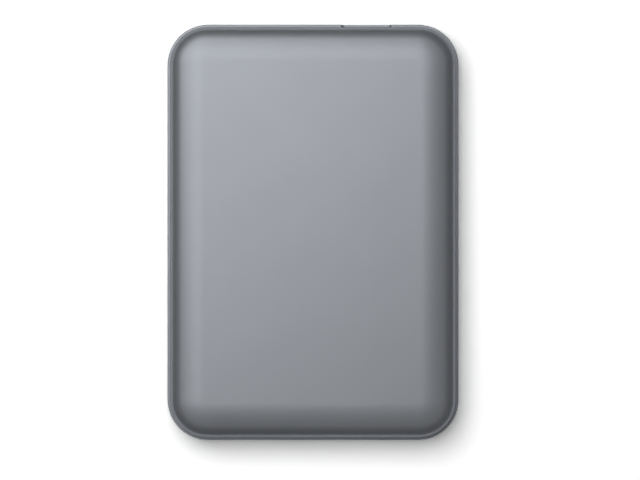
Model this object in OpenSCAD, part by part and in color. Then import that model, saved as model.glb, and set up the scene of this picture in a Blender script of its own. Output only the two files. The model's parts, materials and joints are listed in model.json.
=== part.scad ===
// Portable external hard drive: a two-shell moulded case around a 2.5 inch disk drive,
// with a bridge board and its data port at one short end.
// Millimetres. X across, Y along with the port end at +Y, Z up from the feet.

/* [Case] */
// Between the drive and each side wall
side_gap = 3.675; // [3.5:0.025:5]
// Between the drive and the wall at its blind end
back_gap = 4.1; // [3.5:0.1:6]
// Radius of the four upright corners
corner_r = 11.4; // [11:0.2:14]
// Height of the lower shell, up to the seam
seam_h = 6; // [5.4:0.1:6.4]
// Side wall of the shells
wall = 1.5; // [1.4:0.1:1.7]
// Floor and roof of the shells
face_t = 1.4; // [1.2:0.1:1.8]
// How far the lower shell stands out past the upper one at the seam
ledge = 0.9; // [0.5:0.05:1]
// Rounding of the lower shell's upper edge
ledge_r = 0.25; // [0.1:0.05:0.3]
// Radii of the upper edge, from the wall inwards
roof_radii = [2.5, 7.5, 22.5];
// Radii of the lower edge, from the wall inwards
floor_radii = [2.2, 5, 12];
// Height of the locating lip
lip_h = 1.6; // [1.4:0.1:1.8]
// Thickness of the locating lip
lip_t = 0.8; // [0.7:0.05:0.9]
// Width of a snap hook
hook_w = 6; // [4:0.5:7]
// Thickness of the side ribs
rib_t = 1.2; // [0.8:0.1:1.6]

/* [Feet and cushions] */
// Diameter of a foot
foot_d = 7; // [5:0.5:9]
// How far a foot stands out of the floor
foot_h = 0.4; // [0.3:0.1:0.8]
// Depth of the recess that a foot is glued in
foot_recess = 0.5; // [0.3:0.1:0.7]
// Middle of a foot from the sides of the case, across and along
foot_inset = [13, 13.5];
// Rubber under the corners of the drive
pad_t = 0.8; // [0.6:0.1:1.2]
// Foam between the drive and the roof
foam_t = 1.3; // [1:0.1:2]
// Size of the foam
foam_size = [50, 60];
// Reach of a bumper along each side of the drive
bumper_reach = 12; // [9:0.5:13]

/* [Drive] */
// Casting beside the platters, at each side of the drive
cast_side = 1.825; // [1.7:0.025:2.5]
// Casting beside the platters, at the blind end
cast_end = 1.4; // [1.2:0.1:2]
// Room for the plug, from the chamber to the open end
plug_room = 8.1; // [8.1:0.1:9]
// Corner radius of the drive
drive_r = 3; // [2:0.5:3.5]
// Depth of the pocket for the drive's board
pocket_h = 1.6; // [1.6:0.1:2]
// Floor of the casting
cast_t = 0.8; // [0.7:0.1:1]
// Thickness of the cover
cover_t = 0.6; // [0.5:0.1:0.8]
// Diameter of a platter
disc_d = 65; // [64.6:0.1:65.2]
// Bore of a platter
disc_bore = 20; // [19.6:0.1:20.4]
// Thickness of a platter
disc_t = 0.8; // [0.6:0.1:0.9]
// Space between the two platters
disc_gap = 2; // [1.9:0.1:2.4]
// Space under the lower platter and over the upper one
outer_gap = 1.45; // [1.4:0.05:1.7]
// Space round the platters
disc_room = 0.6; // [0.5:0.05:0.8]
// Teeth of the motor core
teeth = 9; // [6:3:9]

/* [Actuator] */
// From the rim of the platters to the axis of the pivot
pivot_room = 6.41; // [6.35:0.01:6.6]
// Diameter of the pivot shaft
pivot_d = 3.2; // [2.8:0.1:3.4]
// Outside diameter of the pivot sleeve
sleeve_d = 7.1; // [6.9:0.1:7.3]
// How near the arc of the heads passes the spindle's axis
head_pass = 6.91; // [6.81:0.1:7.31]
// From the rim of the platters to a parked head
park_room = 1.98; // [1.9:0.02:2.4]
// Direction of the coil when parked
coil_angle = 48; // [47.5:0.5:49]
// Thickness of the outer arms
arm_t = 0.6; // [0.5:0.05:0.65]
// Thickness of a suspension
spring_t = 0.15; // [0.1:0.05:0.15]
// Thickness of a head slider
slider_t = 0.3; // [0.25:0.05:0.3]
// Flying height of a head
fly_gap = 0.05; // [0.03:0.01:0.1]
// Inner radius of the coil
coil_r0 = 9; // [8.8:0.1:9.2]
// Outer radius of the coil
coil_r1 = 17.4; // [17:0.1:17.4]
// Thickness of the coil
coil_t = 1.6; // [1.4:0.1:1.8]
// Space between the coil and each magnet
coil_gap = 0.35; // [0.3:0.05:0.4]
// Thickness of a magnet
magnet_t = 0.9; // [0.8:0.05:0.95]

/* [Bridge board and port] */
// Space between the drive and the port end's wall
bridge_room = 7.9; // [7.9:0.05:8.6]
// Thickness of the bridge board
bridge_t = 0.8; // [0.6:0.1:1]
// Between the drive's socket and the port, across the case
port_gap = 0.85; // [0.75:0.05:2]
// Width of the port's metal shell
port_w = 12.3; // [12.1:0.1:12.4]
// Height of the port's metal shell
port_h = 2.6; // [2.5:0.05:2.7]
// Sheet of the port's metal shell
port_t = 0.3; // [0.2:0.05:0.3]
// Depth of the finger relief round the port
port_relief = 0.6; // [0.4:0.1:0.8]
// From the bridge chip to the activity light, across the case
light_set = 12; // [11.5:0.5:13]
// Diameter of the light pipe
light_d = 1.6; // [1.2:0.1:1.8]

/* [Clearances] */
// Between the lip and its rebate
lip_gap = 0.1; // [0.06:0.02:0.14]
// Of a piece that drops into its place
fit = 0.05; // [0.03:0.01:0.06]
// Of a shaft in its bearing
run = 0.03; // [0.02:0.01:0.05]

/* [Hidden] */
$fn = 96;
eps = 0.01;

// Unit normals at which one edge arc hands over to the next
NORMALS = [[1, 0], [0.6, 0.8], [0.28, 0.96], [0, 1]];

// Heights of the case
floor_z = foot_h + face_t;
seam_z = foot_h + seam_h;
drive_z = floor_z + pad_t;
drive_h = pocket_h + cast_t + 2 * outer_gap + 2 * disc_t + disc_gap + cover_t;
roof_z = drive_z + drive_h + foam_t;
case_top = roof_z + face_t;

// Plan sizes of the drive: its platters, its coil and its plug, with the casting round them
coil_half = 16;
frame_half = 19;
frame_rim = 0.8;
frame_r0 = coil_r0 - 1;
frame_r1 = coil_r1 + frame_rim;
frame_gap = 0.3;
coil_room = 4.4;
cast_right = 1.707;
drive_w = disc_d + 2 * (disc_room + cast_side);
spindle_set = disc_d / 2 + disc_room + cast_end;
chamber_right = drive_w / 2 - cast_right;
pivot_x = chamber_right - frame_gap - frame_r1 * cos(coil_angle - frame_half);
pivot_reach = disc_d / 2 + pivot_room;
pivot_set = [pivot_x, sqrt(pivot_reach * pivot_reach - pivot_x * pivot_x)];
drive_l = spindle_set + pivot_set.y + frame_r1 + coil_room + plug_room;

// Plan sizes of the case, which follow the drive
low_wall = wall + ledge;
in_w = drive_w + 2 * side_gap;
in_l = back_gap + drive_l + bridge_room;
in_r = corner_r - low_wall;
case_w = in_w + 2 * low_wall;
case_l = in_l + 2 * low_wall;
top_w = case_w - 2 * ledge;
top_l = case_l - 2 * ledge;
cavity_roof_radii = [for (r = roof_radii) r - wall];
cavity_floor_radii = [0.8, 3.2, 10];
snap_h = 0.85;
snap_drop = 0.5;
hook_t = 1;
hook_pitch = 28;
end_hook_pitch = 16;
hook_end = in_w / 2 - in_r - hook_w / 2 - 1.6;
hook_places = [for (a = [0, 180], y = [-hook_pitch, 0, hook_pitch]) [a, y]];
end_hook_places = [[90, hook_end], [90, 0], [270, end_hook_pitch], [270, -end_hook_pitch]];
foot_places = [for (sx = [-1, 1], sy = [-1, 1])
    [sx * (case_w / 2 - foot_inset.x), sy * (case_l / 2 - foot_inset.y)]];

// Drive, in its own frame: Z from its underside, Y from its middle
drive_y = (back_gap - bridge_room) / 2;
deck_z = pocket_h + cast_t;
disc_z = [deck_z + outer_gap, deck_z + outer_gap + disc_t + disc_gap];
cover_z = disc_z[1] + disc_t + outer_gap;
mid_z = disc_z[0] + disc_t + disc_gap / 2;
spindle = [0, spindle_set - drive_l / 2];
pivot = spindle + pivot_set;
cast_left = 3.925;
chamber_lap = 11.9;
chamber = [cast_left - drive_w / 2, spindle.y + disc_d / 2 - chamber_lap,
    chamber_right, pivot.y + frame_r1 + coil_room];
chamber_r = 3;
filter_place = [chamber[0] + 4.5, pivot.y - 5.4];
filter_half = 3.1;
breather_place = [chamber[0] + 7, pivot.y + 14.6];
bracket_place = [pivot.x - 29, pivot.y + 11.6];
bracket_h = 5.2;
flex_start = [pivot.x - 5.5, pivot.y + 4.6];
flex_t = 0.16;
plug_set = 7.925;
plug_w = 35;
plug_box = [plug_set - drive_w / 2, plug_set - drive_w / 2 + plug_w];
plug_h = 4;
plug_y = drive_l / 2 - 5.2;
plug_mouth = 3.9;
blade_z = 1.4;
blade_t = 1.2;
board_z = 0.2;
board_t = 0.6;
board_side = 4.325;
board_end = 0.5;
board_l = 30;
board_gap = 0.4;
board_r = 1.5;
board_w = drive_w - 2 * board_side;
board_y = drive_l / 2 - board_end - board_l;
contact_t = 0.1;
cover_screw_x = drive_w / 2 - 3.6;
cover_screw_y = drive_l / 2 - 3.35;
cover_screw_places = concat([for (sx = [-1, 1], sy = [-1, 1]) [sx * cover_screw_x, sy * cover_screw_y]],
    [[chamber[0] - 2.15, pivot.y + 0.6]]);
board_screw_x = board_w / 2 - 3;
board_screw_places = [[-board_screw_x, board_y + 2.6], [board_screw_x, board_y + 2.6],
    [board_screw_x, drive_l / 2 - 4]];
side_hole_d = 2.5;
side_holes = [14 - drive_l / 2, drive_l / 2 - 9.6];

// Spindle motor
well_z = 1.2;
sleeve_r = 3;
shaft_r = 1.5;
boss_r = 4.5;
core_r = 8.2;
hub_r = disc_bore / 2 - fit;
hub_wall = 0.95;
flange_r = 12;
flange_t = 0.6;
hub_top = disc_z[1] + disc_t - fit;
core_z = [well_z + 0.4, well_z + 1.8];
rotor_z = well_z + 0.3;
rotor_t = 0.5;
clamp_t = 0.5;

// Actuator
bearing_r = sleeve_d / 2 - 1;
slider_z = [disc_z[0] - fly_gap - slider_t, disc_z[0] + disc_t + fly_gap,
    disc_z[1] - fly_gap - slider_t, disc_z[1] + disc_t + fly_gap];
spring_z = [slider_z[0] - spring_t, slider_z[1] + slider_t,
    slider_z[2] - spring_t, slider_z[3] + slider_t];
arm_z = [spring_z[0] - arm_t, spring_z[1] + spring_t, spring_z[3] + spring_t];
arm_h = [arm_t, spring_z[2] - spring_z[1] - spring_t, arm_t];
hub_arm_r = sleeve_d / 2 + 1.65;
head_reach = pivot_reach - head_pass;
arm_len = head_reach - 9;
park_reach = disc_d / 2 + park_room;
park_angle = 180 + atan2(pivot_set.y, pivot_set.x) - acos((pivot_reach * pivot_reach
    + head_reach * head_reach - park_reach * park_reach) / (2 * pivot_reach * head_reach));
frame_t = 1.2;
magnet_z = [mid_z - coil_t / 2 - coil_gap - magnet_t, mid_z + coil_t / 2 + coil_gap];
yoke_t = [magnet_z[0] - deck_z, 1];
yoke_z = [deck_z, magnet_z[1] + magnet_t];
swing = 36;
yoke_r0 = 8.6;
yoke_r1 = coil_r1 + 0.6;
post_r = 1.2;
stop_angle = 9;
post_places = [[13, coil_angle + frame_half + swing + stop_angle],
    [11, coil_angle - frame_half - stop_angle], [frame_r1 + 1.8, coil_angle + swing / 2]];
tab_reach = head_reach + 2.4;
ramp_gap = 0.05;
ramp_in = head_reach + 0.9;
ramp_out = head_reach + 2.6;
ramp_back = head_reach + 5.5;

// Bridge
bridge_z = drive_z + board_z + plug_h + 0.1;
bridge_y = [in_l / 2 - bridge_room + 0.2, in_l / 2 - 1.35];
port_x = plug_box[1] + port_gap + port_w / 2;
flash_at = [port_x - port_w / 2 - 4.65, 3];
bridge_chip_at = [flash_at.x - 8.2, 3.3];
light_x = bridge_chip_at.x - light_set;
bridge_w = 2 * max(3.5 - plug_box[0], port_x + port_w / 2 + 5);
port_z = bridge_z + bridge_t / 2 + 0.1;
port_y = [in_l / 2 - 4.75, top_l / 2 - 0.75];
light_z = bridge_z + bridge_t + 0.6;
post_x = bridge_w / 2 - 1.6;
post_y = (bridge_y[0] + bridge_y[1]) / 2;

// Chips and small parts: size, and place on their board
bridge_chip_size = [5, 5, 0.85];
flash_size = [4, 3.9, 1];
controller_size = [11, 11, 0.7];
controller_at = [-6, 11];
motor_chip_size = [7, 7, 0.7];
motor_chip_at = [12, 8];
memory_size = [8, 10, 0.7];
memory_at = [-19, 10];
part_size = [1, 1.6, 0.6];
part_pitch = 2.2;
crystal_size = [2.4, 2, 0.9];
inductor_size = [3.2, 2.5, 0.7];
regulator_size = [4, 2, 0.7];

function arc_rise(radii) =
    radii[0] * NORMALS[1].y + radii[1] * (NORMALS[2].y - NORMALS[1].y) + radii[2] * (1 - NORMALS[2].y);

function arc_centres(half, top, radii) =
    let (c0 = [half - radii[0], top - arc_rise(radii)])
    let (c1 = c0 + (radii[0] - radii[1]) * NORMALS[1])
    let (c2 = c1 + (radii[1] - radii[2]) * NORMALS[2])
    [c0, c1, c2];

function polar(r, a) = [r * cos(a), r * sin(a)];

module arc_segment(centre, radius, from, to) {
    side = [(to - from).y, -(to - from).x];
    intersection() {
        translate(centre) circle(radius);
        polygon([from, to, to + side, from + side]);
    }
}

// Half of a section whose upper edge is three arcs, each tangent to the next
module soft_profile(half, top, radii, base, base_r) {
    centres = arc_centres(half, top, radii);
    starts = [for (i = [0:2]) centres[i] + radii[i] * NORMALS[i]];
    end = centres[2] + radii[2] * NORMALS[3];
    foot = base_r > 0 ? [[half - base_r, base], [half, base + base_r]] : [[half, base]];
    polygon(concat([[0, base]], foot, starts, [end, [0, top]]));
    for (i = [0:2]) arc_segment(centres[i], radii[i], starts[i], i == 2 ? end : starts[i + 1]);
    if (base_r > 0) arc_segment([half - base_r, base + base_r], base_r, foot[0], foot[1]);
}

// Rounded slab with that section all the way round
module soft_slab(w, l, corner, top, radii, base = 0, base_r = 0) {
    straight_w = w - 2 * corner;
    straight_l = l - 2 * corner;
    rotate([90, 0, 0]) linear_extrude(straight_l, center = true) {
        soft_profile(w / 2, top, radii, base, base_r);
        mirror([1, 0]) soft_profile(w / 2, top, radii, base, base_r);
    }
    for (end = [0, 1]) mirror([0, end, 0]) {
        translate([0, straight_l / 2, 0]) rotate([90, 0, 90])
            linear_extrude(straight_w, center = true) soft_profile(corner, top, radii, base, base_r);
        for (side = [0, 1]) mirror([side, 0, 0]) translate([straight_w / 2, straight_l / 2, 0])
            rotate_extrude(angle = 90) soft_profile(corner, top, radii, base, base_r);
    }
}

module rounded_rect(w, l, r) {
    x = w / 2;
    y = l / 2;
    polygon([[x, r - y], [x, y - r], [x - r, y], [r - x, y],
        [-x, y - r], [-x, r - y], [r - x, -y], [x - r, -y]]);
    for (sx = [-1, 1], sy = [-1, 1]) translate([sx * (x - r), sy * (y - r)]) intersection() {
        circle(r);
        polygon([[sx * r, 0], [sx * r, sy * r], [0, sy * r]]);
    }
}

module disc(z0, z1, r) {
    translate([0, 0, z0]) cylinder(h = z1 - z0, r = r);
}

module ring(z0, z1, r0, r1) {
    difference() {
        disc(z0, z1, r1);
        disc(z0 - 1, z1 + 1, r0);
    }
}

module block(x0, x1, y0, y1, z0, z1) {
    translate([x0, y0, z0]) cube([x1 - x0, y1 - y0, z1 - z0]);
}

// Ring sector between two radii and two directions
module sector(r0, r1, a0, a1) {
    far = 2 * r1;
    mid = (a0 + a1) / 2;
    intersection() {
        difference() {
            circle(r1);
            circle(r0);
        }
        polygon([[0, 0], polar(far, a0), polar(far, mid), polar(far, a1)]);
    }
}

module in_drive() {
    translate([0, drive_y, drive_z]) children();
}

module at_spindle() {
    in_drive() translate([spindle.x, spindle.y, 0]) children();
}

module at_pivot(angle = 0) {
    in_drive() translate([pivot.x, pivot.y, 0]) rotate(angle) children();
}

// A place on the inner face of the wall that faces the given way: X points outwards
module on_wall(angle, along) {
    half = angle % 180 == 0 ? in_w / 2 : in_l / 2;
    rotate(angle) translate([half, along, 0]) children();
}

module all_hooks() {
    for (p = concat(hook_places, end_hook_places)) on_wall(p[0], p[1]) children();
}

module port_opening(grow) {
    translate([port_x, 0, port_z]) rotate([-90, 0, 0])
        linear_extrude(case_l) rounded_rect(port_w + 2 * grow, port_h + 2 * grow, 0.5 + grow / 2);
}

module port_cuts() {
    port_opening(0.35);
    translate([0, top_l / 2 - port_relief, 0]) port_opening(0.95);
    translate([light_x, 0, light_z]) rotate([-90, 0, 0]) cylinder(h = case_l, r = light_d / 2 + run);
}

// Upper shell: roof, walls, rebate for the lip, snap hooks and the frame round the foam
module top_shell() {
    color("silver") difference() {
        union() {
            difference() {
                soft_slab(top_w, top_l, corner_r - ledge, case_top, roof_radii, seam_z);
                soft_slab(in_w, in_l, in_r, roof_z, cavity_roof_radii, seam_z - 1);
                translate([0, 0, seam_z - 1]) linear_extrude(lip_h + lip_gap + 1)
                    rounded_rect(in_w + 2 * (lip_t + lip_gap), in_l + 2 * (lip_t + lip_gap),
                        in_r + lip_t + lip_gap);
            }
            all_hooks() snap_hook();
            translate([0, drive_y, roof_z - foam_t / 2]) linear_extrude(foam_t / 2 + face_t / 2)
                difference() {
                    rounded_rect(foam_size.x + 4, foam_size.y + 4, 3);
                    rounded_rect(foam_size.x + 2, foam_size.y + 2, 2);
                }
        }
        port_cuts();
    }
}

module snap_hook() {
    catch_z = seam_z + lip_h - snap_drop + lip_gap;
    root_z = seam_z + lip_h + 2 * lip_gap;
    translate([-hook_t - lip_gap, -hook_w / 2, seam_z + 0.1]) cube([hook_t, hook_w, lip_h + 1.4]);
    translate([-hook_t - lip_gap, -hook_w / 2, root_z + 0.1]) cube([hook_t + 0.5, hook_w, 1.2]);
    translate([-lip_gap - eps, hook_w / 2, catch_z - snap_h]) rotate([90, 0, 0])
        linear_extrude(hook_w) polygon([[0, 0], [lip_t * 0.65, snap_h - 0.15], [0, snap_h - 0.15]]);
}

// Lower shell: floor, walls, lip with windows for the hooks, ribs and board posts
module bottom_shell() {
    color("silver") difference() {
        union() {
            difference() {
                translate([0, 0, seam_z]) mirror([0, 0, 1])
                    soft_slab(case_w, case_l, corner_r, seam_h, floor_radii, 0, ledge_r);
                cavity_floor(0, seam_z + 1);
            }
            lip();
            for (a = [0, 180], y = [-14, 14]) on_wall(a, y) side_rib();
            for (x = [-post_x, post_x]) translate([x, post_y, 0]) disc(floor_z - 0.3, bridge_z, 1.3);
            for (x = [-post_x, post_x]) translate([x, post_y, 0])
                disc(bridge_z - 0.5, bridge_z + bridge_t, 0.8);
        }
        all_hooks() hook_window();
        port_cuts();
        for (p = foot_places) translate(p) disc(-1, foot_h + foot_recess, foot_d / 2 + fit);
    }
}

module cavity_floor(inset, top) {
    translate([0, 0, top]) mirror([0, 0, 1])
        soft_slab(in_w - 2 * inset, in_l - 2 * inset, in_r - inset, top - floor_z, cavity_floor_radii);
}

module lip() {
    translate([0, 0, seam_z - 0.5]) linear_extrude(lip_h + 0.5) difference() {
        rounded_rect(in_w + 2 * lip_t, in_l + 2 * lip_t, in_r + lip_t);
        rounded_rect(in_w, in_l, in_r);
    }
}

module hook_window() {
    top = seam_z + lip_h - snap_drop + lip_gap;
    translate([-1, -hook_w / 2 - 0.2, top - snap_h - 0.05])
        cube([lip_t + 1 + 0.02, hook_w + 0.4, snap_h]);
}

module side_rib() {
    reach = in_w / 2 - drive_w / 2 - 0.3;
    translate([0, rib_t / 2, 0]) rotate([90, 0, 0]) linear_extrude(rib_t)
        polygon([[-reach, floor_z - 0.4], [0.3, floor_z - 0.4 + 1.2], [0.3, seam_z - 0.6],
            [0.9 - reach, seam_z - 0.6], [-reach, seam_z - 1.5]]);
}

module feet() {
    color("dimgray") for (p = foot_places) translate(p) disc(0, foot_h + foot_recess, foot_d / 2);
}

module light_pipe() {
    color("white") translate([light_x, 0, light_z]) rotate([-90, 0, 0]) {
        disc(bridge_y[1] + 0.15, top_l / 2, light_d / 2);
        disc(in_l / 2 - 0.8, in_l / 2, light_d / 2 + 0.5);
    }
}

module foam_pad() {
    color("gray") translate([0, drive_y, roof_z - foam_t])
        linear_extrude(foam_t) rounded_rect(foam_size.x, foam_size.y, 2);
}

// Rubber corners that hold the drive off the floor and the walls
module corner_bumpers() {
    top = drive_z + 0.7 * drive_h;
    color("dimgray") for (s = [-1, 1]) {
        corner_bumper(s, drive_y - drive_l / 2, -in_l / 2, bumper_reach, drive_w / 2 - bumper_reach, top);
        corner_bumper(s, drive_y + drive_l / 2, in_l / 2 - bridge_room + 2.5, -bumper_reach,
            bridge_w / 2 + 0.7, top);
    }
}

module corner_bumper(side, drive_end, outer_end, reach, inner_x, top) {
    y0 = min(outer_end, drive_end + reach);
    y1 = max(outer_end, drive_end + reach);
    mirror([side < 0 ? 1 : 0, 0, 0]) difference() {
        intersection() {
            cavity_floor(0.2, top);
            block(inner_x, case_w / 2, y0, y1, 0, top);
        }
        in_drive() linear_extrude(drive_h + 1)
            rounded_rect(drive_w + 2 * fit, drive_l + 2 * fit, drive_r + fit);
        block(0, drive_w / 2 - 3, y0 + (reach > 0 ? 7 : -1), y1 + (reach > 0 ? 1 : -7), 0, drive_z + eps);
    }
}

// Bridge board with its socket for the drive and its port to the outside
module bridge_board() {
    color("darkgreen") translate([0, 0, bridge_z]) linear_extrude(bridge_t) difference() {
        translate([0, (bridge_y[0] + bridge_y[1]) / 2])
            rounded_rect(bridge_w, bridge_y[1] - bridge_y[0], 0.8);
        translate([port_x - port_w / 2 - 0.1, port_y[0] - 0.1]) square([port_w + 0.2, 8]);
        for (x = [-post_x, post_x]) translate([x, post_y]) circle(0.8 + fit);
    }
}

module on_bridge(p) {
    translate([p.x, bridge_y[0] + p.y, bridge_z + bridge_t]) children();
}

// A small part on its solder side, turned or not
module part(s, turned = false) {
    rotate(turned ? 90 : 0) translate([-s.x / 2, -s.y / 2, 0]) cube(s);
}

module chip(s) {
    difference() {
        part(s);
        translate([0.35 * s.x, -0.35 * s.y, s.z - 0.08]) cylinder(h = 1, r = 0.3);
    }
}

module bridge_chip() {
    color("black") on_bridge(bridge_chip_at) chip(bridge_chip_size);
}

module flash_chip() {
    color("black") on_bridge(flash_at) chip(flash_size);
}

module bridge_passives() {
    color("tan") {
        for (x = [-4.5, -2.8, 4.6, 6.3]) on_bridge([light_x + x, 1.6]) part(part_size);
        on_bridge([light_x - 5.4, 4.5]) part(crystal_size);
        on_bridge([light_x + 5.5, 4.4]) part(inductor_size);
        for (i = [-1.5:1.5]) on_bridge([port_x + i * part_pitch, 1.3]) part(part_size);
    }
}

module activity_led() {
    color("white") translate([light_x, bridge_y[1] - 0.9, bridge_z + bridge_t]) block(-0.8, 0.8, 0, 0.8, 0, 1);
}

// Outline of the port's shell: the wide bay and the narrow bay beside it
module port_outline(grow) {
    w = port_w / 2 - port_t + grow;
    h = port_h / 2 - port_t + grow;
    polygon([[-w, h], [-w, -0.1 * h], [-w + 0.95 * h, -h], [w - 0.5 * h, -h], [w, -0.5 * h], [w, h]]);
}

module port_shell() {
    color("lightgray") {
        translate([port_x, port_y[1], port_z]) rotate([90, 0, 0]) {
            linear_extrude(port_y[1] - port_y[0]) {
                difference() {
                    port_outline(port_t);
                    port_outline(0);
                }
                polygon([[0.75, -port_h / 2 + port_t / 2], [1.05, 0.1], [1.55, 0.1], [1.85, -port_h / 2 + port_t / 2]]);
            }
        }
        for (s = [-1, 1]) translate([port_x + s * port_w / 2, port_y[0] + 1, bridge_z + bridge_t])
            block(s < 0 ? -1.2 : -0.2, s < 0 ? 0.2 : 1.2, 0, 1.8, 0, 0.3);
    }
}

module port_insulator() {
    color("black") translate([port_x, 0, port_z]) {
        translate([0, port_y[0] + 1.5, 0]) rotate([90, 0, 0]) linear_extrude(1.5) difference() {
            port_outline(-fit);
            translate([0.7, -port_h]) square([1.2, port_h + 0.15]);
        }
        block(-4.6, -0.3, port_y[0] + 1.2, port_y[1] - 0.5, 0, 0.55);
        block(2.4, 5.1, port_y[0] + 1.2, port_y[1] - 0.5, 0, 0.55);
    }
}

module port_contacts() {
    color("gold") translate([port_x, 0, port_z - contact_t]) {
        for (i = [0:4]) translate([-3.75 + 0.65 * i, 0, 0])
            block(-0.17, 0.17, port_y[0] + 1.55, port_y[1] - 0.8, 0, contact_t);
        for (i = [0:4]) translate([2.75 + 0.5 * i, 0, 0])
            block(-0.13, 0.13, port_y[0] + 1.55, port_y[1] - 0.8, 0, contact_t);
    }
}

module data_socket() {
    back = drive_l / 2 + 5.2;
    nose = plug_y + 5.2 - plug_mouth + 0.2;
    tongue_x = [plug_box[0] + 1.2, plug_box[1] - 1.2];
    color("black") in_drive() difference() {
        union() {
            block(plug_box[0], plug_box[1], drive_l / 2 + 0.1, back, board_z + 0.1, board_z + plug_h + 0.1);
            block(tongue_x[0], tongue_x[1], nose, drive_l / 2 + 1, blade_z - 0.4, blade_z + blade_t + 0.6);
        }
        block(plug_box[0] + 1.6, plug_box[1] - 1.6, nose - 1, drive_l / 2 + 0.6, blade_z - 0.1,
            blade_z + blade_t + contact_t + 0.1);
    }
}

// Casting of the drive
module chamber_outline(grow) {
    translate([spindle.x, spindle.y]) circle(disc_d / 2 + disc_room + grow);
    translate([(chamber[0] + chamber[2]) / 2, (chamber[1] + chamber[3]) / 2])
        rounded_rect(chamber[2] - chamber[0] + 2 * grow, chamber[3] - chamber[1] + 2 * grow, chamber_r + grow);
}

module drive_base() {
    color("gainsboro") in_drive() {
        difference() {
            linear_extrude(cover_z) rounded_rect(drive_w, drive_l, drive_r);
            translate([0, 0, deck_z]) linear_extrude(cover_z) chamber_outline(0);
            translate([0, 0, cover_z - 0.3]) linear_extrude(1) gasket_outline(fit);
            translate([spindle.x, spindle.y, 0]) {
                disc(well_z, cover_z, flange_r - 0.5);
                ring(-1, 0.9, 14.5, disc_d / 2 - 1.5);
                disc(0.5, 2, sleeve_r);
            }
            board_pocket();
            for (p = cover_screw_places) translate([p.x, p.y, 0]) disc(cover_z - 3.2, cover_z + 1, 0.8 + fit);
            for (sx = [-1, 1], y = side_holes) translate([sx * drive_w / 2, -y, 3])
                rotate([0, sx * 90, 0]) translate([0, 0, -1.2]) cylinder(h = 2, r = side_hole_d / 2);
            translate([pivot.x, pivot.y, 0]) disc(pocket_h + 0.15, cover_z, 1.2 + run);
        }
        translate([spindle.x, spindle.y, 0]) {
            ring(well_z - 0.2, core_z[1] - 0.1, sleeve_r, boss_r);
            ring(well_z - 0.2, core_z[0], boss_r - 0.1, boss_r + 1.1);
        }
        for (p = board_screw_places) translate([p.x, p.y, 0])
            ring(board_z + board_t, pocket_h + 0.2, 0.6 + fit, 1.8);
        filter_posts();
    }
}

module board_pocket() {
    translate([0, (board_y - board_gap + drive_l / 2 + 3) / 2, -1]) linear_extrude(pocket_h + 1)
        rounded_rect(board_w + 2 * board_gap, drive_l / 2 + 3 - board_y + board_gap, board_r);
    block(plug_box[0] - 0.2, plug_box[1] + 0.2, plug_y - 0.4, drive_l, -1, board_z + plug_h + 0.2);
}

module gasket_outline(slack) {
    difference() {
        chamber_outline(1 + slack);
        chamber_outline(0.45 - slack);
    }
}

module filter_posts() {
    for (s = [-1, 1]) translate([filter_place.x + s * filter_half, filter_place.y + s * filter_half, 0])
        disc(deck_z - 0.2, cover_z - 1.2, 1.2);
}

module recirculation_filter() {
    color("white") in_drive() translate([filter_place.x, filter_place.y, deck_z]) rotate(45)
        block(-filter_half, filter_half, -0.75, 0.75, 0, cover_z - deck_z - 1.6);
}

module drive_cover() {
    color("lightgray") in_drive() translate([0, 0, cover_z]) difference() {
        linear_extrude(cover_t) rounded_rect(drive_w - 0.3, drive_l - 0.3, drive_r);
        for (p = cover_screw_places) translate([p.x, p.y, 0]) {
            disc(-1, cover_t + 1, 0.8 + fit);
            disc(cover_t - 0.35, cover_t + 1, 1.5 + fit);
        }
        translate([pivot.x, pivot.y, 0]) disc(cover_t - 0.2, cover_t + 1, 4.5);
        translate([spindle.x, spindle.y, 0]) {
            disc(cover_t - 0.15, cover_t + 1, 11);
            ring(cover_t - 0.2, cover_t + 1, 27, 28.5);
        }
        translate([pivot.x - 19, pivot.y + 9.6, cover_t - 0.2]) linear_extrude(1) rounded_rect(26, 14, 3);
    }
}

module cover_gasket() {
    color("dimgray") in_drive() translate([0, 0, cover_z - 0.3]) linear_extrude(0.3) gasket_outline(0);
}

module cover_screws() {
    color("silver") in_drive() for (p = cover_screw_places) translate([p.x, p.y, cover_z]) difference() {
        union() {
            disc(-3, 0.4, 0.8);
            disc(cover_t - 0.35, cover_t - 0.02, 1.5);
        }
        translate([0, 0, cover_t - 0.2]) cylinder(h = 1, r = 0.6, $fn = 6);
    }
}

module breather_filter() {
    color("white") in_drive() translate(breather_place) disc(cover_z - 0.5, cover_z, 3);
}

module bearing_sleeve() {
    color("goldenrod") at_spindle() ring(0.6, disc_z[1] - 0.7, shaft_r + run, sleeve_r);
}

module core_tooth(slack) {
    translate([boss_r + 1, -0.6 - slack]) square([core_r - boss_r - 1.4, 1.2 + 2 * slack]);
}

module stator_core() {
    color("dimgray") at_spindle() translate([0, 0, core_z[0]]) linear_extrude(core_z[1] - core_z[0]) {
        difference() {
            circle(boss_r + 1.4);
            circle(boss_r + 0.02);
        }
        for (i = [0:teeth - 1]) rotate(i * 360 / teeth) {
            core_tooth(0);
            sector(core_r - 0.7, core_r, -14, 14);
        }
    }
}

module stator_coils() {
    color("peru") at_spindle() for (i = [0:teeth - 1]) rotate(i * 360 / teeth) difference() {
        block(boss_r + 1.5, core_r - 0.9, -1.25, 1.25, core_z[0] - 0.3, core_z[1] + 0.3);
        translate([0, 0, core_z[0] - 0.01]) linear_extrude(core_z[1] - core_z[0] + 0.02) core_tooth(0.01);
    }
}

// Rotor: hub, magnet and platters
module spindle_shaft() {
    color("silver") at_spindle() difference() {
        disc(0.8, hub_top, shaft_r);
        disc(hub_top - 2.6, hub_top + 1, 0.8 + run);
    }
}

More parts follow.
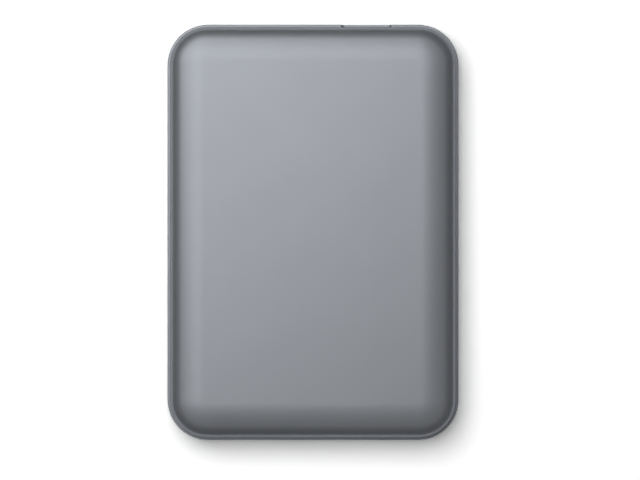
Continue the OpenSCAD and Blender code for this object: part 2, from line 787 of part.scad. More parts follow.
module spindle_hub() {
    roof = core_z[1] + 0.6;
    color("silver") at_spindle() rotate_extrude() polygon([
        [sleeve_r + 0.3, roof], [hub_r - hub_wall, roof], [hub_r - hub_wall, rotor_z], [hub_r, rotor_z],
        [hub_r, disc_z[0] - flange_t], [flange_r, disc_z[0] - flange_t], [flange_r, disc_z[0]],
        [hub_r, disc_z[0]], [hub_r, hub_top], [shaft_r, hub_top], [shaft_r, disc_z[1] - 0.4],
        [sleeve_r + 0.3, disc_z[1] - 0.4]]);
}

module rotor_magnet() {
    color("dimgray") at_spindle()
        ring(rotor_z + 0.2, core_z[1] + 0.4, hub_r - hub_wall - rotor_t, hub_r - hub_wall);
}

module platter(z) {
    color("whitesmoke") at_spindle() ring(z, z + disc_t, disc_bore / 2, disc_d / 2);
}

module lower_platter() {
    platter(disc_z[0]);
}

module upper_platter() {
    platter(disc_z[1]);
}

module platter_spacer() {
    color("silver") at_spindle() ring(disc_z[0] + disc_t, disc_z[1], disc_bore / 2, flange_r);
}

module disk_clamp() {
    color("silver") at_spindle() difference() {
        ring(disc_z[1] + disc_t, disc_z[1] + disc_t + clamp_t, 1, flange_r);
        for (i = [0:5]) rotate(60 * i) translate([6.5, 0, 0]) disc(0, cover_z, 0.7);
        ring(disc_z[1] + disc_t + clamp_t - 0.15, cover_z, 8.4, 9.4);
    }
}

module clamp_screw() {
    top = disc_z[1] + disc_t + clamp_t;
    color("dimgray") at_spindle() difference() {
        union() {
            disc(top - 2.6, top + 0.1, 0.8);
            disc(top, top + 0.5, 2.4);
        }
        translate([0, 0, top + 0.15]) cylinder(h = 1, r = 0.9, $fn = 6);
    }
}

// Actuator: arms, bearings, coil and heads
module pivot_shaft() {
    color("silver") at_pivot() {
        disc(pocket_h + 0.2, deck_z + 0.1, 1.2);
        disc(deck_z, deck_z + 0.25, 2.3);
        disc(deck_z, cover_z, pivot_d / 2);
    }
}

module pivot_bearings() {
    color("lightgray") at_pivot() {
        ring(arm_z[0] + 0.15, arm_z[0] + 1.6, pivot_d / 2 + run, bearing_r);
        ring(arm_z[2] + arm_t - 1.6, arm_z[2] + arm_t - 0.15, pivot_d / 2 + run, bearing_r);
    }
}

module pivot_sleeve() {
    color("silver") at_pivot() ring(arm_z[0] + 0.05, arm_z[2] + arm_t - 0.05, bearing_r, sleeve_d / 2);
}

module arm_outline() {
    difference() {
        union() {
            circle(hub_arm_r);
            polygon([[0, -4.1], [arm_len, -2], [arm_len, 2], [0, 4.1]]);
        }
        circle(sleeve_d / 2);
        translate([12, 0]) circle(1.5);
        translate([17, 0]) circle(1.1);
    }
}

module arm_block() {
    color("silver") {
        at_pivot(park_angle) {
            for (i = [0:2]) translate([0, 0, arm_z[i]]) linear_extrude(arm_h[i]) arm_outline();
            ring(arm_z[0], arm_z[2] + arm_t, sleeve_d / 2, hub_arm_r);
        }
        at_pivot(coil_angle) translate([0, 0, mid_z - frame_t / 2]) linear_extrude(frame_t)
            sector(hub_arm_r - 0.4, frame_r0, -frame_half, frame_half);
    }
}

module suspensions() {
    color("lightgray") at_pivot(park_angle) for (z = spring_z) translate([0, 0, z])
        linear_extrude(spring_t) polygon([[arm_len - 4, -1.7], [arm_len + 1, -1.7], [head_reach + 1, -0.6],
            [head_reach + 1, -0.35], [tab_reach, -0.35], [tab_reach, 0.35], [head_reach + 1, 0.35],
            [head_reach + 1, 0.6], [arm_len + 1, 1.7], [arm_len - 4, 1.7]]);
}

module head_sliders() {
    color("dimgray") at_pivot(park_angle) for (z = slider_z)
        block(head_reach - 0.6, head_reach + 0.6, -0.5, 0.5, z, z + slider_t);
}

module coil_outline() {
    difference() {
        sector(coil_r0, coil_r1, -coil_half, coil_half);
        sector(coil_r0 + 2.2, coil_r1 - 2.2, -9, 9);
    }
}

module voice_coil() {
    color("peru") at_pivot(coil_angle) translate([0, 0, mid_z - coil_t / 2])
        linear_extrude(coil_t) coil_outline();
}

module coil_frame() {
    color("black") at_pivot(coil_angle) translate([0, 0, mid_z - frame_t / 2]) linear_extrude(frame_t)
        difference() {
            sector(frame_r0, frame_r1, -frame_half, frame_half);
            sector(coil_r0, coil_r1, -coil_half, coil_half);
        }
}

module preamp_chip() {
    color("black") at_pivot(park_angle - 62) block(hub_arm_r, hub_arm_r + 0.8, -1.3, 1.3, 4.4, 7);
}

// Voice coil motor
module yoke_outline() {
    sector(yoke_r0, yoke_r1, coil_angle - frame_half - 2, coil_angle + frame_half + swing + 15);
    sector(yoke_r0, 14, coil_angle - frame_half - 17, coil_angle - frame_half - 1);
    rotate(post_places[2][1]) {
        translate([post_places[2][0], 0]) circle(2.2);
        translate([yoke_r1 - 1, -2.2]) square([post_places[2][0] - yoke_r1 + 1, 4.4]);
    }
}

module lower_yoke() {
    color("gray") at_pivot() translate([0, 0, yoke_z[0]]) linear_extrude(yoke_t[0]) yoke_outline();
}

module upper_yoke() {
    color("gray") at_pivot() translate([0, 0, yoke_z[1]]) linear_extrude(yoke_t[1]) yoke_outline();
}

module magnet(z) {
    color("silver") at_pivot() translate([0, 0, z]) linear_extrude(magnet_t)
        sector(yoke_r0 + 0.6, yoke_r1 - 0.8, coil_angle - coil_half - 2, coil_angle + coil_half + swing + 4);
}

module lower_magnet() {
    magnet(magnet_z[0]);
}

module upper_magnet() {
    magnet(magnet_z[1]);
}

module at_post(i) {
    at_pivot(post_places[i][1]) translate([post_places[i][0], 0, 0]) children();
}

module yoke_posts() {
    color("silver") for (i = [0:2]) at_post(i) disc(yoke_z[0] + yoke_t[0], yoke_z[1], post_r);
}

module crash_stops() {
    color("black") for (i = [0, 1]) at_post(i) ring(mid_z - 0.9, mid_z + 0.9, post_r + 0.02, post_r + 0.35);
}

// Ramp that the heads park on: one wedge at the height of each platter, on a common column
module parking_ramp() {
    color("ivory") {
        for (z = disc_z) difference() {
            at_pivot(park_angle) translate([0, 0, z - 0.3]) linear_extrude(disc_t + 0.6)
                sector(ramp_in, ramp_out, -3, 6.2);
            at_spindle() disc(z - 0.1, z + disc_t + 0.1, disc_d / 2 + 0.35);
        }
        at_pivot(park_angle) translate([0, 0, deck_z]) linear_extrude(cover_z - deck_z - 0.6)
            sector(ramp_out - 0.05, ramp_back, -4, 1.6);
    }
}

// Ribbon from the actuator to the plug through the floor
module flex_loop() {
    start = flex_start;
    end = bracket_place + [0.15, 0];
    middle = (start + end) / 2;
    across = [start.y - end.y, end.x - start.x] / norm(start - end);
    centre = middle + 5 * across;
    r = norm(start - centre);
    a0 = atan2(start.y - centre.y, start.x - centre.x);
    a1 = atan2(end.y - centre.y, end.x - centre.x);
    color("peru") in_drive() translate([centre.x, centre.y, 4]) linear_extrude(3.4)
        sector(r - flex_t / 2, r + flex_t / 2, a0, a1);
}

module flex_bracket() {
    color("black") in_drive() translate([bracket_place.x, bracket_place.y, deck_z]) {
        block(-3.6, 0, -2.4, 3, 0, bracket_h);
        block(-6.2, -3.5, -2.4, 3, 0, 1);
    }
}

// Board of the drive, on the underside of the casting
module drive_board() {
    edge = plug_y - fit;
    color("darkgreen") in_drive() translate([0, 0, board_z]) linear_extrude(board_t) difference() {
        translate([0, board_y + board_l / 2]) rounded_rect(board_w, board_l, board_r);
        translate([plug_box[0] - fit, edge]) square([plug_box[1] - plug_box[0] + 2 * fit, 20]);
        for (p = board_screw_places) translate(p) circle(0.6 + fit);
        translate([-board_w / 2, board_y]) circle(3);
    }
}

module on_board(p) {
    in_drive() translate([p.x, board_y + p.y, board_z + board_t]) children();
}

module controller_chip() {
    color("black") on_board(controller_at) chip(controller_size);
}

module motor_chip() {
    color("black") on_board(motor_chip_at) chip(motor_chip_size);
}

module memory_chip() {
    color("black") on_board(memory_at) chip(memory_size);
}

module board_passives() {
    color("tan") {
        for (i = [0:5]) on_board([5 + part_pitch * i, 17]) part(part_size);
        for (i = [0:4]) on_board([20, 4 + part_pitch * i]) part(part_size, true);
        on_board([22, 19]) part(inductor_size);
        on_board([-14, 20]) part(regulator_size);
    }
}

module drive_plug() {
    inner = drive_l / 2 - plug_mouth;
    color("black") in_drive() {
        difference() {
            block(plug_box[0], plug_box[1], plug_y, drive_l / 2 - 0.1, board_z, board_z + plug_h);
            block(plug_box[0] + 1, plug_box[1] - 1, inner, drive_l, blade_z - 0.6, blade_z + blade_t + 0.8);
        }
        block(plug_box[0] + 2, plug_box[0] + 22.6, inner - 0.5, drive_l / 2 - 0.5, blade_z, blade_z + blade_t);
        block(plug_box[1] - 12.4, plug_box[1] - 2, inner - 0.5, drive_l / 2 - 0.5, blade_z, blade_z + blade_t);
    }
}

module plug_contacts() {
    inner = drive_l / 2 - plug_mouth;
    color("gold") in_drive() translate([0, 0, blade_z + blade_t]) {
        for (i = [0:14]) translate([plug_box[0] + 3.4 + 1.27 * i, 0, 0])
            block(-0.35, 0.35, inner + 0.1, drive_l / 2 - 0.9, 0, contact_t);
        for (i = [0:6]) translate([plug_box[1] - 11 + 1.27 * i, 0, 0])
            block(-0.35, 0.35, inner + 0.1, drive_l / 2 - 0.9, 0, contact_t);
    }
}

module board_screws() {
    color("silver") in_drive() for (p = board_screw_places) translate([p.x, p.y, 0]) {
        disc(0, board_z, 1.3);
        disc(0, pocket_h - 0.1, 0.6);
    }
}

top_shell();
bottom_shell();
feet();
light_pipe();
foam_pad();
corner_bumpers();
bridge_board();
bridge_chip();
flash_chip();
bridge_passives();
activity_led();
port_shell();
port_insulator();
port_contacts();
data_socket();
drive_base();
drive_cover();
cover_gasket();
cover_screws();
breather_filter();
recirculation_filter();
bearing_sleeve();
stator_core();
stator_coils();
pivot_shaft();
lower_yoke();
upper_yoke();
lower_magnet();
upper_magnet();
yoke_posts();
crash_stops();
parking_ramp();
flex_loop();
flex_bracket();
drive_board();
controller_chip();
motor_chip();
memory_chip();
board_passives();
drive_plug();
plug_contacts();
board_screws();
spindle_shaft();
spindle_hub();
rotor_magnet();
lower_platter();
upper_platter();
platter_spacer();
disk_clamp();
clamp_screw();
arm_block();
pivot_sleeve();
pivot_bearings();
coil_frame();
voice_coil();
suspensions();
head_sliders();
preamp_chip();
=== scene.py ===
import json
import math

import bpy
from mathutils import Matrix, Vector


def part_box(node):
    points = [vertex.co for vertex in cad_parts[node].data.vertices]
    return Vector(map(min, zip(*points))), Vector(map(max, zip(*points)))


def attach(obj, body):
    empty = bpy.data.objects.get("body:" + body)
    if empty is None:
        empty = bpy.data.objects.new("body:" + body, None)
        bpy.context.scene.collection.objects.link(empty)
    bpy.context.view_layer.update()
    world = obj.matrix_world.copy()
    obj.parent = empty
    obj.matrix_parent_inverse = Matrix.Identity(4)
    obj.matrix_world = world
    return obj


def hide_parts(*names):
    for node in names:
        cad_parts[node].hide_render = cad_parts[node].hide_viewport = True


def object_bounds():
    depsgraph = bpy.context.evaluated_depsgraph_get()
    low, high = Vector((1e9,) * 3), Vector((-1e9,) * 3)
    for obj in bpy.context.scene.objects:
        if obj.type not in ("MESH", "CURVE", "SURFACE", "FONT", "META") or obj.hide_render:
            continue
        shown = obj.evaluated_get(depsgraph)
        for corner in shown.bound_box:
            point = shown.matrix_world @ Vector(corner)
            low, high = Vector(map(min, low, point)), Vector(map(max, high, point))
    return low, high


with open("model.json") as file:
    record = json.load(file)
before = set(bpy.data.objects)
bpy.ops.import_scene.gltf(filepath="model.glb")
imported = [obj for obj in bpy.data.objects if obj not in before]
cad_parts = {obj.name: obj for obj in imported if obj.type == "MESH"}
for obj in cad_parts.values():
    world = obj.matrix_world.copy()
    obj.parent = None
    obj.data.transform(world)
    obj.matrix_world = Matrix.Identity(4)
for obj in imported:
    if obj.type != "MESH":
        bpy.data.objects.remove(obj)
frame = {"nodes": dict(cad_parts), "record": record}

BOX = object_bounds()
NODES = frame["nodes"]
SCENE = bpy.context.scene
MM = 0.001

# Soft edges of the shells, as in part.scad: the radii run from the wall to the flat face,
# and the normals are those where one arc ends and the next begins
CORNER_R = 11.4 * MM
LEDGE = 0.9 * MM
LEDGE_R = 0.25 * MM
SEAM_Z = 6.4 * MM
FOOT_H = 0.4 * MM
ROOF_RADII = [r * MM for r in (2.5, 7.5, 22.5)]
FLOOR_RADII = [r * MM for r in (2.2, 5.0, 12.0)]
ARC_NORMALS = [(1.0, 0.0), (0.6, 0.8), (0.28, 0.96), (0.0, 1.0)]

# Limits for a true normal: how far a vertex may lie from its curve, how far in radians past
# the ends of an arc, and how well the normal must agree with that of the facet
NEAR = 0.02 * MM
NEAR_ANGLE = 0.02
AGREEMENT = 0.9

# Foam pad: its clearance in its CAD solid, its corners and its pinched rims
FOAM_CLEAR = 0.1 * MM
FOAM_CORNER = 2.0 * MM
FOAM_STEPS = 8
FOAM_PINCH = 0.4 * MM
FOAM_BEVEL = 0.25 * MM

# Paint of the case: a satin grey with fine metal flake
PAINT_DARK = (0.254, 0.267, 0.288)
PAINT_LIGHT = (0.274, 0.288, 0.311)
PAINT_FLAKE = (0.372, 0.388, 0.410)
PAINT_METAL = 0.72
PAINT_EDGE = (0.10, 0.12, 0.16)
PAINT_GLOSS = 0.1
PAINT_ROUGH = (0.39, 0.45)
FLAKE_SHARE = 0.18

# Noise textures stay mostly between these two values
NOISE_LOW, NOISE_HIGH = 0.25, 0.75

# Sockets of a Mix node in its colour mode
COLOUR_A, COLOUR_B, COLOUR_OUT = 6, 7, 2

# Lamps, each with its place and size in metres and its power in watts: a softbox close above
# the upper left, a weaker one behind it and a very broad one overhead
LAMPS = {
    "key": ((-0.103, 0.132, 0.396), 0.36, 0.98),
    "fill": ((-0.119, 0.142, 0.571), 0.85, 0.42),
    "overhead": ((0.0, 0.0, 0.9), 1.80, 3.30),
}
SURROUND = 0.042

# Floor: white where it is seen, with a gain that keeps it white in the picture and in gloss,
# a lift far from the lamps, and little light given back to the object
FLOOR_HALF = 6.0
FLOOR_DROP = 0.02 * MM
FLOOR_BOUNCE = 0.12
FLOOR_GAIN = 0.77
FAR_FROM, FAR_TO, FAR_LIFT = 0.13, 0.50, 0.60

# Camera straight above: the width and the middle of the case in the photograph are in pixels,
# and the sensor's width is in millimetres
IMAGE_W, IMAGE_H = 640, 480
CASE_PX = 291.0
CENTRE_PX = (313.0, 232.3)
CAMERA_RISE = 1.2
SENSOR = 36.0
CLIP_NEAR, CLIP_FAR = 0.05, 20.0


# Helpers for the materials


def new_material(name):
    """A material with a Principled shader, and the object's own coordinates for its textures."""
    mat = bpy.data.materials.new(name)
    mat.use_nodes = True
    tree = mat.node_tree
    tree.nodes.clear()
    out = tree.nodes.new("ShaderNodeOutputMaterial")
    bsdf = tree.nodes.new("ShaderNodeBsdfPrincipled")
    tree.links.new(bsdf.outputs["BSDF"], out.inputs["Surface"])
    coord = tree.nodes.new("ShaderNodeTexCoord")
    return mat, tree, bsdf, coord.outputs["Object"]


def noise(tree, vector, scale, detail=2.0, rough=0.5, stretch=None):
    if stretch:
        mapping = tree.nodes.new("ShaderNodeMapping")
        mapping.inputs["Scale"].default_value = stretch
        tree.links.new(vector, mapping.inputs["Vector"])
        vector = mapping.outputs["Vector"]
    node = tree.nodes.new("ShaderNodeTexNoise")
    node.inputs["Scale"].default_value = scale
    node.inputs["Detail"].default_value = detail
    node.inputs["Roughness"].default_value = rough
    tree.links.new(vector, node.inputs["Vector"])
    return node.outputs["Fac"]


def spread(tree, fac, low, high):
    """A noise stretched to run from low to high."""
    node = tree.nodes.new("ShaderNodeMapRange")
    node.inputs["From Min"].default_value = NOISE_LOW
    node.inputs["From Max"].default_value = NOISE_HIGH
    node.inputs["To Min"].default_value = low
    node.inputs["To Max"].default_value = high
    tree.links.new(fac, node.inputs["Value"])
    return node.outputs["Result"]


def blend_colours(tree, fac, a, b):
    """A mix of two colours, where the first may also be a socket."""
    node = tree.nodes.new("ShaderNodeMix")
    node.data_type = "RGBA"
    tree.links.new(fac, node.inputs["Factor"])
    if isinstance(a, tuple):
        node.inputs[COLOUR_A].default_value = (*a, 1)
    else:
        tree.links.new(a, node.inputs[COLOUR_A])
    node.inputs[COLOUR_B].default_value = (*b, 1)
    return node.outputs[COLOUR_OUT]


def bump(tree, bsdf, height, strength, depth):
    node = tree.nodes.new("ShaderNodeBump")
    node.inputs["Strength"].default_value = strength
    node.inputs["Distance"].default_value = depth
    tree.links.new(height, node.inputs["Height"])
    tree.links.new(node.outputs["Normal"], bsdf.inputs["Normal"])


def finish_material(name, colour, vary=0.08, scale=300, rough=(0.4, 0.5), metallic=0.0, grain=2500,
                    depth=0.02 * MM, strength=0.3, stretch=None, coat=0.0):
    """A plain finish: its colour varies broadly, its roughness and bump follow a fine grain."""
    mat, tree, bsdf, vec = new_material(name)
    broad = noise(tree, vec, scale, detail=4.0, rough=0.55, stretch=stretch)
    dark = tuple(c * (1 - vary) for c in colour)
    light = tuple(min(1.0, c * (1 + vary)) for c in colour)
    tree.links.new(blend_colours(tree, broad, dark, light), bsdf.inputs["Base Color"])
    fine = noise(tree, vec, grain, stretch=stretch)
    tree.links.new(spread(tree, fine, *rough), bsdf.inputs["Roughness"])
    bump(tree, bsdf, fine, strength, depth)
    bsdf.inputs["Metallic"].default_value = metallic
    bsdf.inputs["Coat Weight"].default_value = coat
    return mat


# Materials with a look of their own


def case_paint():
    mat, tree, bsdf, vec = new_material("case_paint")
    flake = noise(tree, vec, scale=5200, detail=1.0)
    cloud = noise(tree, vec, scale=60, detail=3.0)
    tint = blend_colours(tree, cloud, PAINT_DARK, PAINT_LIGHT)
    colour = blend_colours(tree, spread(tree, flake, 0.0, FLAKE_SHARE), tint, PAINT_FLAKE)
    tree.links.new(colour, bsdf.inputs["Base Color"])
    tree.links.new(spread(tree, flake, *PAINT_ROUGH), bsdf.inputs["Roughness"])
    bump(tree, bsdf, flake, strength=0.05, depth=0.01 * MM)
    bsdf.inputs["Metallic"].default_value = PAINT_METAL
    bsdf.inputs["Specular Tint"].default_value = (*PAINT_EDGE, 1)
    bsdf.inputs["Specular IOR Level"].default_value = PAINT_GLOSS
    return mat


def board_mask():
    """Green solder mask over fine copper tracks."""
    mat, tree, bsdf, vec = new_material("board_mask")
    tracks = tree.nodes.new("ShaderNodeTexBrick")
    tracks.inputs["Scale"].default_value = 420
    tracks.inputs["Mortar Size"].default_value = 0.012
    tracks.inputs["Color1"].default_value = (0.02, 0.13, 0.055, 1)
    tracks.inputs["Color2"].default_value = (0.025, 0.16, 0.07, 1)
    tracks.inputs["Mortar"].default_value = (0.05, 0.26, 0.12, 1)
    tree.links.new(vec, tracks.inputs["Vector"])
    tree.links.new(tracks.outputs["Color"], bsdf.inputs["Base Color"])
    fine = noise(tree, vec, scale=1500)
    tree.links.new(spread(tree, fine, 0.28, 0.38), bsdf.inputs["Roughness"])
    bump(tree, bsdf, tracks.outputs["Fac"], strength=0.2, depth=0.02 * MM)
    return mat


def wound_copper():
    """Turns of enamelled wire, with painted shade in the grooves between them."""
    mat, tree, bsdf, vec = new_material("wound_copper")
    turns = tree.nodes.new("ShaderNodeTexWave")
    turns.wave_type = "RINGS"
    turns.inputs["Scale"].default_value = 1400
    turns.inputs["Distortion"].default_value = 0.3
    tree.links.new(vec, turns.inputs["Vector"])
    # Painted shade: the colour follows the relief of the turns, darker in the grooves between them and
    # lighter on their crowns
    colour = blend_colours(tree, turns.outputs["Fac"], (0.36, 0.12, 0.04), (0.72, 0.30, 0.12))
    tree.links.new(colour, bsdf.inputs["Base Color"])
    fine = noise(tree, vec, scale=2000)
    tree.links.new(spread(tree, fine, 0.25, 0.4), bsdf.inputs["Roughness"])
    bump(tree, bsdf, turns.outputs["Fac"], strength=0.5, depth=0.04 * MM)
    bsdf.inputs["Metallic"].default_value = 0.9
    return mat


def foam_cells():
    mat, tree, bsdf, vec = new_material("foam_cells")
    cells = tree.nodes.new("ShaderNodeTexVoronoi")
    cells.inputs["Scale"].default_value = 1300
    tree.links.new(vec, cells.inputs["Vector"])
    depth = cells.outputs["Distance"]
    # Painted shade: the pits of the cells are coloured darker, following the same depth that the bump uses
    colour = blend_colours(tree, depth, (0.006, 0.006, 0.007), (0.05, 0.05, 0.053))
    tree.links.new(colour, bsdf.inputs["Base Color"])
    fine = noise(tree, vec, scale=900)
    tree.links.new(spread(tree, fine, 0.85, 0.98), bsdf.inputs["Roughness"])
    bump(tree, bsdf, depth, strength=0.8, depth=0.3 * MM)
    return mat


def felt():
    mat, tree, bsdf, vec = new_material("felt")
    fibre = noise(tree, vec, scale=3500, detail=5.0, rough=0.7, stretch=(1.0, 1.0, 0.3))
    colour = blend_colours(tree, fibre, (0.55, 0.55, 0.53), (0.85, 0.85, 0.83))
    tree.links.new(colour, bsdf.inputs["Base Color"])
    tree.links.new(spread(tree, fibre, 0.85, 0.97), bsdf.inputs["Roughness"])
    bump(tree, bsdf, fibre, strength=0.8, depth=0.1 * MM)
    return mat


def clear_plastic():
    mat, tree, bsdf, vec = new_material("clear_plastic")
    fine = noise(tree, vec, scale=700)
    colour = blend_colours(tree, fine, (0.80, 0.84, 0.88), (0.92, 0.95, 0.98))
    tree.links.new(colour, bsdf.inputs["Base Color"])
    tree.links.new(spread(tree, fine, 0.08, 0.16), bsdf.inputs["Roughness"])
    bsdf.inputs["Transmission Weight"].default_value = 0.6
    bsdf.inputs["IOR"].default_value = 1.49
    return mat


# A material for each slot of the record

MATERIALS = {
    "case_plastic": case_paint(),
    "rubber": finish_material(
        "rubber_black", (0.022, 0.022, 0.024), vary=0.2, scale=500, rough=(0.62, 0.78), grain=3000,
        depth=0.05 * MM, strength=0.4),
    "clear_plastic": clear_plastic(),
    "foam": foam_cells(),
    "board": board_mask(),
    "chip": finish_material(
        "chip_black", (0.018, 0.018, 0.02), vary=0.15, scale=600, rough=(0.45, 0.6), grain=6000),
    "passives": finish_material(
        "passive_body", (0.30, 0.20, 0.12), vary=0.15, scale=900, rough=(0.35, 0.5), grain=5000),
    "plated_steel": finish_material(
        "plated_steel", (0.62, 0.62, 0.61), vary=0.08, scale=500, rough=(0.22, 0.34), metallic=1.0,
        grain=4000, stretch=(1.0, 0.15, 1.0)),
    "black_plastic": finish_material(
        "black_plastic", (0.02, 0.02, 0.022), vary=0.15, scale=400, rough=(0.4, 0.52), grain=3500),
    "gold": finish_material(
        "gold_plate", (0.83, 0.60, 0.24), vary=0.06, scale=800, rough=(0.18, 0.28), metallic=1.0,
        grain=5000),
    "cast_aluminium": finish_material(
        "cast_aluminium", (0.60, 0.61, 0.62), vary=0.10, scale=350, rough=(0.34, 0.5), metallic=1.0,
        grain=2200, depth=0.05 * MM, strength=0.4),
    "stamped_steel": finish_material(
        "stamped_steel", (0.58, 0.585, 0.59), vary=0.06, scale=250, rough=(0.26, 0.38), metallic=1.0,
        grain=1800, stretch=(1.0, 0.08, 1.0)),
    "screw_steel": finish_material(
        "screw_steel", (0.55, 0.55, 0.56), vary=0.08, scale=900, rough=(0.2, 0.32), metallic=1.0,
        grain=5000),
    "filter": felt(),
    "bronze": finish_material(
        "sintered_bronze", (0.48, 0.30, 0.12), vary=0.15, scale=1500, rough=(0.4, 0.6), metallic=1.0,
        grain=4500, depth=0.05 * MM, strength=0.5),
    "core_steel": finish_material(
        "core_steel", (0.17, 0.17, 0.175), vary=0.12, scale=700, rough=(0.4, 0.55), metallic=0.9,
        grain=3000),
    "copper": wound_copper(),
    "magnet": finish_material(
        "nickel_plate", (0.66, 0.65, 0.62), vary=0.05, scale=500, rough=(0.12, 0.22), metallic=1.0,
        grain=4000),
    "ramp_plastic": finish_material(
        "ramp_plastic", (0.62, 0.57, 0.42), vary=0.06, scale=700, rough=(0.32, 0.44), grain=4000),
    "flex": finish_material(
        "polyimide", (0.42, 0.17, 0.03), vary=0.12, scale=900, rough=(0.2, 0.32), grain=4000, coat=0.4),
    "platter": finish_material(
        "platter_polish", (0.80, 0.80, 0.81), vary=0.02, scale=120, rough=(0.03, 0.07), metallic=1.0,
        grain=900, depth=0.002 * MM, strength=0.05),
    "slider_ceramic": finish_material(
        "slider_ceramic", (0.04, 0.04, 0.045), vary=0.1, scale=2000, rough=(0.25, 0.35), grain=6000),
}


def dress_nodes():
    for part in frame["record"]["subparts"]:
        obj = NODES[part["node"]]
        mat = MATERIALS[part["material_slot"]]
        if not obj.material_slots:
            obj.data.materials.append(mat)
        for holder in obj.material_slots:
            holder.material = mat


# Shells


def new_object(name, data):
    obj = bpy.data.objects.new(name, data)
    SCENE.collection.objects.link(obj)
    return obj


def direction(vector):
    return math.atan2(vector[1], vector[0])


def edge_normal(across, z, top, radii, base, base_r):
    """Normal at a point of the soft edge's section, where across is 0 at the outline and falls inwards."""
    turns = [ARC_NORMALS[i + 1][1] - ARC_NORMALS[i][1] for i in range(len(radii))]
    wall_top = top - sum(r * turn for r, turn in zip(radii, turns))
    centres = [(-radii[0], wall_top)]
    for i in range(1, len(radii)):
        step = radii[i - 1] - radii[i]
        centres.append(tuple(c + step * n for c, n in zip(centres[-1], ARC_NORMALS[i])))
    if z > top - NEAR and across <= centres[-1][0] + NEAR:
        return 0.0, 1.0
    for i, centre in enumerate(centres):
        out, up = across - centre[0], z - centre[1]
        r = math.hypot(out, up)
        first, last = direction(ARC_NORMALS[i]), direction(ARC_NORMALS[i + 1])
        if abs(r - radii[i]) < NEAR and first - NEAR_ANGLE <= direction((out, up)) <= last + NEAR_ANGLE:
            return out / r, up / r
    if base_r and z < base + base_r + NEAR and across > -base_r - NEAR:
        out, up = across + base_r, z - base - base_r
        r = math.hypot(out, up)
        if abs(r - base_r) < NEAR:
            return out / r, up / r
    if abs(across) < NEAR and base + base_r - NEAR <= z <= wall_top + NEAR:
        return 1.0, 0.0
    return None


def outline_place(x, y, inset):
    """How far a point lies out from the outline of a shell, and the outline's direction there."""
    corner = CORNER_R - inset
    past_x = abs(x) - (BOX[1][0] - inset - corner)
    past_y = abs(y) - (BOX[1][1] - inset - corner)
    if past_x > 0 and past_y > 0:
        reach = math.hypot(past_x, past_y)
        return reach - corner, past_x / reach, past_y / reach
    if past_x > past_y:
        return past_x - corner, 1.0, 0.0
    return past_y - corner, 0.0, 1.0


def smooth_shell(node, name, inset, top, radii, base=0.0, base_r=0.0, upside_down=False):
    """The shell again, shaded with the true normals of its arcs instead of those of its facets."""
    source = NODES[node]
    mesh = source.data.copy()
    mesh.name = name
    exact = []
    for vert in mesh.vertices:
        x, y, z = vert.co
        across, along_x, along_y = outline_place(x, y, inset)
        height = SEAM_Z - z if upside_down else z
        found = edge_normal(across, height, top, radii, base, base_r)
        if found:
            out, up = found
            found = Vector((math.copysign(along_x, x) * out, math.copysign(along_y, y) * out,
                            -up if upside_down else up))
        exact.append(found)
    normals = [Vector(c.vector) for c in mesh.corner_normals]
    for poly in mesh.polygons:
        found = [exact[mesh.loops[i].vertex_index] for i in poly.loop_indices]
        if any(n is None or n.dot(poly.normal) <= AGREEMENT for n in found):
            continue
        for i, n in zip(poly.loop_indices, found):
            normals[i] = n
        poly.use_smooth = True
    mesh.normals_split_custom_set([tuple(n) for n in normals])
    piece = new_object(name, mesh)
    piece.matrix_world = source.matrix_world.copy()
    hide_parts(node)
    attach(piece, "case")


# Foam pad


def rounded_outline(half_x, half_y, radius, steps):
    points = []
    for k, (sx, sy) in enumerate([(1, 1), (-1, 1), (-1, -1), (1, -1)]):
        for i in range(steps + 1):
            angle = math.pi / 2 * (k + i / steps)
            points.append((sx * (half_x - radius) + radius * math.cos(angle),
                           sy * (half_y - radius) + radius * math.sin(angle)))
    return points


def foam_piece():
    """A flat pad whose upper and lower rims are pinched in a little, as cut foam is."""
    low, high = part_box("foam_pad")
    centre = [(h + l) / 2 for h, l in zip(high, low)]
    half_x, half_y, half_z = ((h - l) / 2 - FOAM_CLEAR for h, l in zip(high, low))
    outline = rounded_outline(half_x, half_y, FOAM_CORNER, FOAM_STEPS)
    side = half_z - FOAM_BEVEL
    levels = [(-half_z, FOAM_PINCH), (-side, 0.0), (side, 0.0), (half_z, FOAM_PINCH)]
    verts = []
    for z, inset in levels:
        for x, y in outline:
            verts.append((centre[0] + x * (1 - inset / half_x), centre[1] + y * (1 - inset / half_y),
                          centre[2] + z))
    count = len(outline)
    faces = []
    for level in range(len(levels) - 1):
        for i in range(count):
            a, b = level * count + i, level * count + (i + 1) % count
            faces.append((a, b, b + count, a + count))
    faces.append(tuple(range(count - 1, -1, -1)))
    faces.append(tuple(range(len(verts) - count, len(verts))))
    mesh = bpy.data.meshes.new("foam_sheet")
    mesh.from_pydata(verts, [], faces)
    mesh.materials.append(MATERIALS["foam"])
    piece = new_object("foam_sheet", mesh)
    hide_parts("foam_pad")
    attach(piece, "case")


# Stage


def background_rays(tree):
    """1 for rays that see the background: from the camera, off gloss or through glass."""
    path = tree.nodes.new("ShaderNodeLightPath")
    total = path.outputs["Is Camera Ray"]
    for kind in ("Is Glossy Ray", "Is Transmission Ray"):
        add = tree.nodes.new("ShaderNodeMath")
        add.operation = "ADD"
        add.use_clamp = True
        tree.links.new(total, add.inputs[0])
        tree.links.new(path.outputs[kind], add.inputs[1])
        total = add.outputs["Value"]
    return total


def paper(tree, white):
    shade = tree.nodes.new("ShaderNodeBsdfDiffuse")
    shade.inputs["Color"].default_value = (white, white, white, 1)
    return shade.outputs["BSDF"]


def added(tree, a, b):
    node = tree.nodes.new("ShaderNodeAddShader")
    tree.links.new(a, node.inputs[0])
    tree.links.new(b, node.inputs[1])
    return node.outputs["Shader"]


def mixed(tree, fac, a, b):
    node = tree.nodes.new("ShaderNodeMixShader")
    tree.links.new(fac, node.inputs["Fac"])
    tree.links.new(a, node.inputs[1])
    tree.links.new(b, node.inputs[2])
    return node.outputs["Shader"]


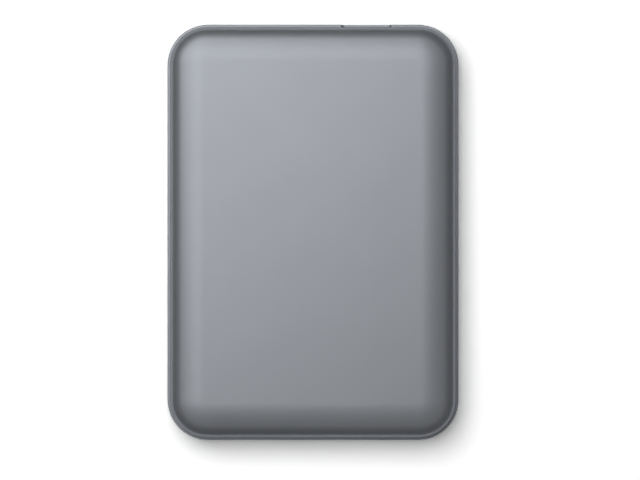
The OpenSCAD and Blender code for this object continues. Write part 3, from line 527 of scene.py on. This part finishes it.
def far_glow(tree):
    """Keeps the floor white far from the lamps, where their light falls off."""
    coord = tree.nodes.new("ShaderNodeTexCoord")
    reach = tree.nodes.new("ShaderNodeVectorMath")
    reach.operation = "LENGTH"
    tree.links.new(coord.outputs["Object"], reach.inputs[0])
    ramp = tree.nodes.new("ShaderNodeMapRange")
    ramp.interpolation_type = "SMOOTHSTEP"
    ramp.inputs["From Min"].default_value = FAR_FROM
    ramp.inputs["From Max"].default_value = FAR_TO
    ramp.inputs["To Max"].default_value = FAR_LIFT
    tree.links.new(reach.outputs["Value"], ramp.inputs["Value"])
    glow = tree.nodes.new("ShaderNodeEmission")
    tree.links.new(ramp.outputs["Result"], glow.inputs["Strength"])
    return glow.outputs["Emission"]


def floor_white():
    mat = bpy.data.materials.new("floor_white")
    mat.use_nodes = True
    tree = mat.node_tree
    tree.nodes.clear()
    out = tree.nodes.new("ShaderNodeOutputMaterial")
    seen = added(tree, added(tree, paper(tree, 1.0), paper(tree, FLOOR_GAIN)), far_glow(tree))
    whole = mixed(tree, background_rays(tree), paper(tree, FLOOR_BOUNCE), seen)
    tree.links.new(whole, out.inputs["Surface"])
    return mat


def add_floor():
    mesh = bpy.data.meshes.new("floor")
    r = FLOOR_HALF
    mesh.from_pydata([(-r, -r, 0), (r, -r, 0), (r, r, 0), (-r, r, 0)], [], [(0, 1, 2, 3)])
    mesh.materials.append(floor_white())
    floor = new_object("floor", mesh)
    floor.location.z = -FLOOR_DROP


def add_world():
    """Dim surroundings, as in a studio with dark walls."""
    world = bpy.data.worlds.new("studio")
    SCENE.world = world
    world.use_nodes = True
    back = world.node_tree.nodes["Background"]
    back.inputs["Color"].default_value = (1.0, 1.0, 1.0, 1)
    back.inputs["Strength"].default_value = SURROUND


def add_lamp(name, place, size, power):
    """A square softbox aimed at the middle of the object's footprint."""
    data = bpy.data.lights.new(name, "AREA")
    data.shape = "SQUARE"
    data.size = size
    data.energy = power
    lamp = new_object(name, data)
    lamp.location = place
    lamp.rotation_mode = "QUATERNION"
    lamp.rotation_quaternion = (-Vector(place)).to_track_quat("-Z", "Y")


def add_camera():
    """Straight above, at the scale that the case's outline has in the photograph."""
    pixel = (BOX[1][0] - BOX[0][0]) / CASE_PX
    data = bpy.data.cameras.new("camera")
    camera = new_object("camera", data)
    SCENE.camera = camera
    data.sensor_width = SENSOR
    data.lens = SENSOR * CAMERA_RISE / (IMAGE_W * pixel)
    data.clip_start = CLIP_NEAR
    data.clip_end = CLIP_FAR
    camera.location = ((IMAGE_W / 2 - CENTRE_PX[0]) * pixel, (CENTRE_PX[1] - IMAGE_H / 2) * pixel,
                       SEAM_Z + CAMERA_RISE)


dress_nodes()
smooth_shell("top_shell", "upper_shell", LEDGE, BOX[1][2], ROOF_RADII, base=SEAM_Z)
smooth_shell("bottom_shell", "lower_shell", 0.0, SEAM_Z - FOOT_H, FLOOR_RADII, base_r=LEDGE_R,
             upside_down=True)
foam_piece()
add_floor()
add_world()
for lamp, (place, size, power) in LAMPS.items():
    add_lamp(lamp, place, size, power)
add_camera()

SCENE.view_settings.view_transform = "Standard"
